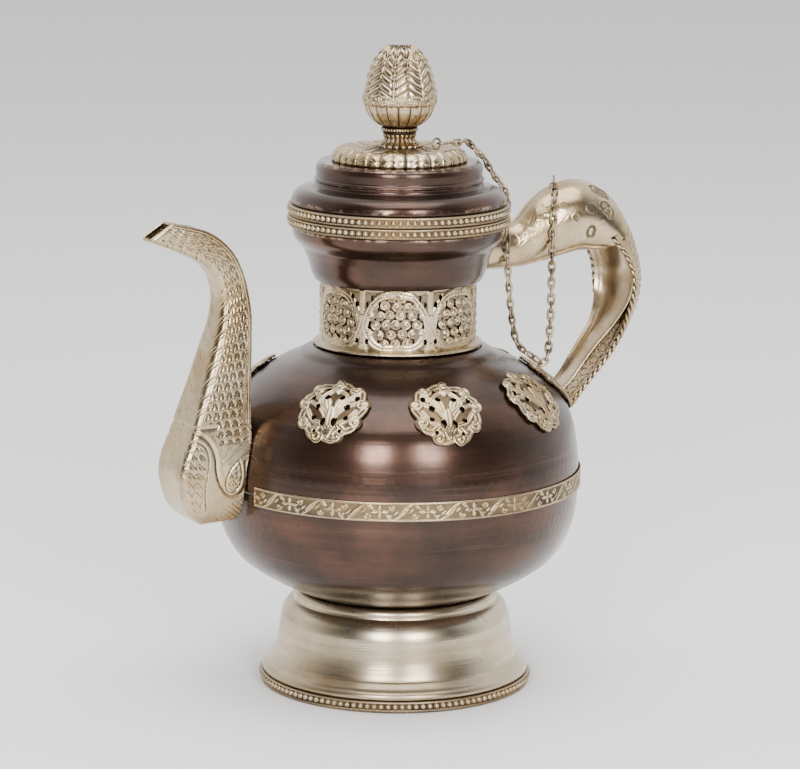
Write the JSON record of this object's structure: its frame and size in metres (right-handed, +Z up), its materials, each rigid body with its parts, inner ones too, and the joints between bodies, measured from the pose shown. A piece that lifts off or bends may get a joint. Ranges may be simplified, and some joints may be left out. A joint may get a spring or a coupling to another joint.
{
  "type": "spouted copper jug",
  "caption": "Round-bellied copper jug with a curved spout, strap handle and chained lift-off lid, trimmed with chased white-metal bands, medallions and a spun foot.",
  "frame": {"origin": "centre of the foot's underside, on the common axis of foot, belly, neck and lid", "axes": "+Z up along the jug's axis; -X towards the spout, +X towards the handle; the mirror plane of the body is Y = 0"},
  "size_m": [0.2866, 0.1938, 0.3345],
  "materials": {
    "copper_sheet": "dark patinated copper, satin, spun and hammered",
    "spun_white_metal": "satin white metal, spun",
    "chased_white_metal": "chased white metal with dark recesses",
    "dark_wire": "tarnished wire"
  },
  "bodies": {
    "jug": {"belly_shoulder": "copper_sheet", "belly_bowl": "copper_sheet", "neck_tube": "copper_sheet", "mouth_collar": "copper_sheet", "foot_shell": "spun_white_metal", "foot_bead_ring": "chased_white_metal", "belly_belt": "chased_white_metal", "neck_band": "chased_white_metal", "collar_bead_band": "chased_white_metal", "spout_body": "chased_white_metal", "spout_back": "chased_white_metal", "handle_head": "chased_white_metal", "handle_channel": "chased_white_metal", "handle_spine": "chased_white_metal", "handle_terminal": "chased_white_metal", "medallion_1": "chased_white_metal", "medallion_2": "chased_white_metal", "medallion_3": "chased_white_metal", "medallion_4": "chased_white_metal", "medallion_5": "chased_white_metal", "medallion_6": "chased_white_metal", "medallion_7": "chased_white_metal", "medallion_8": "chased_white_metal", "handle_eye": "dark_wire", "chain_handle_run": "dark_wire"},
    "lid": {"lid_shell": "copper_sheet", "lid_skirt": "copper_sheet", "lid_bead_band": "chased_white_metal", "lid_rosette": "chased_white_metal", "finial_stem": "chased_white_metal", "finial_knop": "chased_white_metal", "finial_calyx": "chased_white_metal", "finial_bud": "chased_white_metal", "finial_rod": "spun_white_metal", "finial_nut": "spun_white_metal", "lid_eye": "dark_wire", "chain_lid_run": "dark_wire"},
    "lid_ring": {"lid_jump_ring": "dark_wire"},
    "handle_ring": {"handle_jump_ring": "dark_wire"}
  },
  "joints": [
    {"name": "lid_lift", "type": "slide", "parent": "jug", "child": "lid", "axis": [0, 0, 1], "range_m": [0, 0.03]},
    {"name": "lid_ring_swing", "type": "hinge", "parent": "lid", "child": "lid_ring", "pos_m": [0.0124, -0.02137, 0.28584], "axis": [0.0205, 0.0043, 0.9998], "range_deg": [-25, 25]},
    {"name": "handle_ring_swing", "type": "hinge", "parent": "jug", "child": "handle_ring", "pos_m": [0.09147, -0.00195, 0.25794], "axis": [-0.2754, -0.4732, 0.8368], "range_deg": [-25, 25]}
  ]
}
